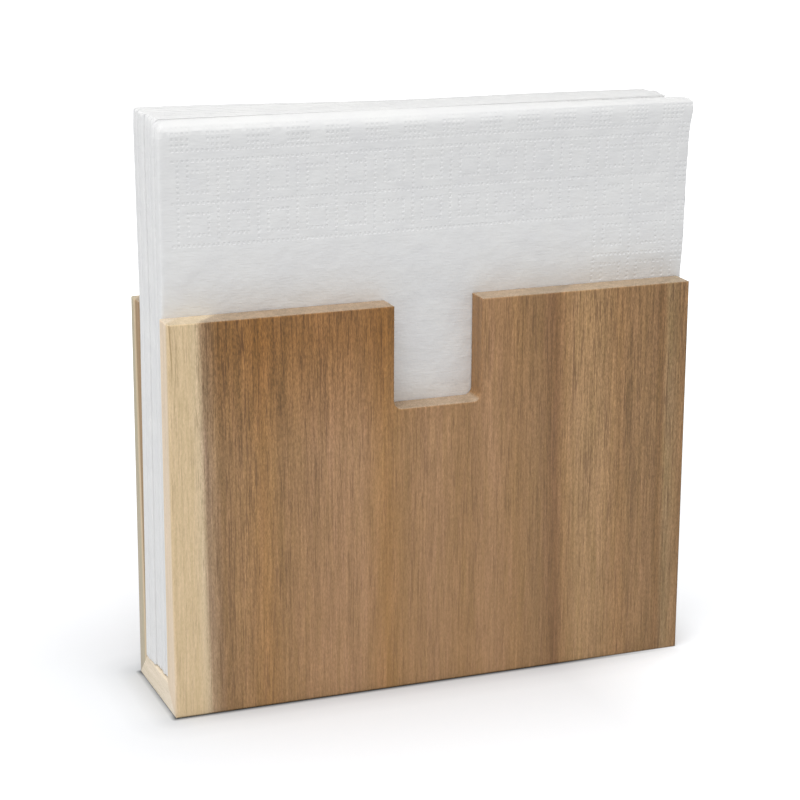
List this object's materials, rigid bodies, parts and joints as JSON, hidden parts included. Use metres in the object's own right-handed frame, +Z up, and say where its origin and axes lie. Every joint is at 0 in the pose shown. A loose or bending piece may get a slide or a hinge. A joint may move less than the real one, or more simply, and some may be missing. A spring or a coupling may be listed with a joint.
{
  "type": "napkin holder",
  "caption": "Upright U-shaped holder of mitred wooden boards with a square finger notch in the front, holding a stack of folded paper napkins.",
  "frame": {"origin": "middle of the footprint on the table", "axes": "+Z up; the front board, the one with the finger notch, faces -Y; +X is to the right seen from the front"},
  "size_m": [0.166, 0.0396, 0.1737],
  "materials": {
    "acacia": "satin",
    "beech_spline": "matte",
    "napkin_tissue": "matte"
  },
  "bodies": {
    "holder": {"front_board": "acacia", "base_board": "acacia", "back_board": "acacia", "front_spline": "beech_spline", "back_spline": "beech_spline"},
    "napkin_01": {"napkin_01": "napkin_tissue"},
    "napkin_02": {"napkin_02": "napkin_tissue"},
    "napkin_03": {"napkin_03": "napkin_tissue"},
    "napkin_04": {"napkin_04": "napkin_tissue"},
    "napkin_05": {"napkin_05": "napkin_tissue"},
    "napkin_06": {"napkin_06": "napkin_tissue"},
    "napkin_07": {"napkin_07": "napkin_tissue"},
    "napkin_08": {"napkin_08": "napkin_tissue"},
    "napkin_09": {"napkin_09": "napkin_tissue"},
    "napkin_10": {"napkin_10": "napkin_tissue"}
  },
  "joints": [
    {"name": "napkin_01_lift", "type": "slide", "parent": "holder", "child": "napkin_01", "axis": [0, 0, 1], "range_m": [0, 0.115]},
    {"name": "napkin_02_lift", "type": "slide", "parent": "holder", "child": "napkin_02", "axis": [0, 0, 1], "range_m": [0, 0.115]},
    {"name": "napkin_03_lift", "type": "slide", "parent": "holder", "child": "napkin_03", "axis": [0, 0, 1], "range_m": [0, 0.115]},
    {"name": "napkin_04_lift", "type": "slide", "parent": "holder", "child": "napkin_04", "axis": [0, 0, 1], "range_m": [0, 0.115]},
    {"name": "napkin_05_lift", "type": "slide", "parent": "holder", "child": "napkin_05", "axis": [0, 0, 1], "range_m": [0, 0.115]},
    {"name": "napkin_06_lift", "type": "slide", "parent": "holder", "child": "napkin_06", "axis": [0, 0, 1], "range_m": [0, 0.115]},
    {"name": "napkin_07_lift", "type": "slide", "parent": "holder", "child": "napkin_07", "axis": [0, 0, 1], "range_m": [0, 0.115]},
    {"name": "napkin_08_lift", "type": "slide", "parent": "holder", "child": "napkin_08", "axis": [0, 0, 1], "range_m": [0, 0.115]},
    {"name": "napkin_09_lift", "type": "slide", "parent": "holder", "child": "napkin_09", "axis": [0, 0, 1], "range_m": [0, 0.115]},
    {"name": "napkin_10_lift", "type": "slide", "parent": "holder", "child": "napkin_10", "axis": [0, 0, 1], "range_m": [0, 0.115]}
  ]
}
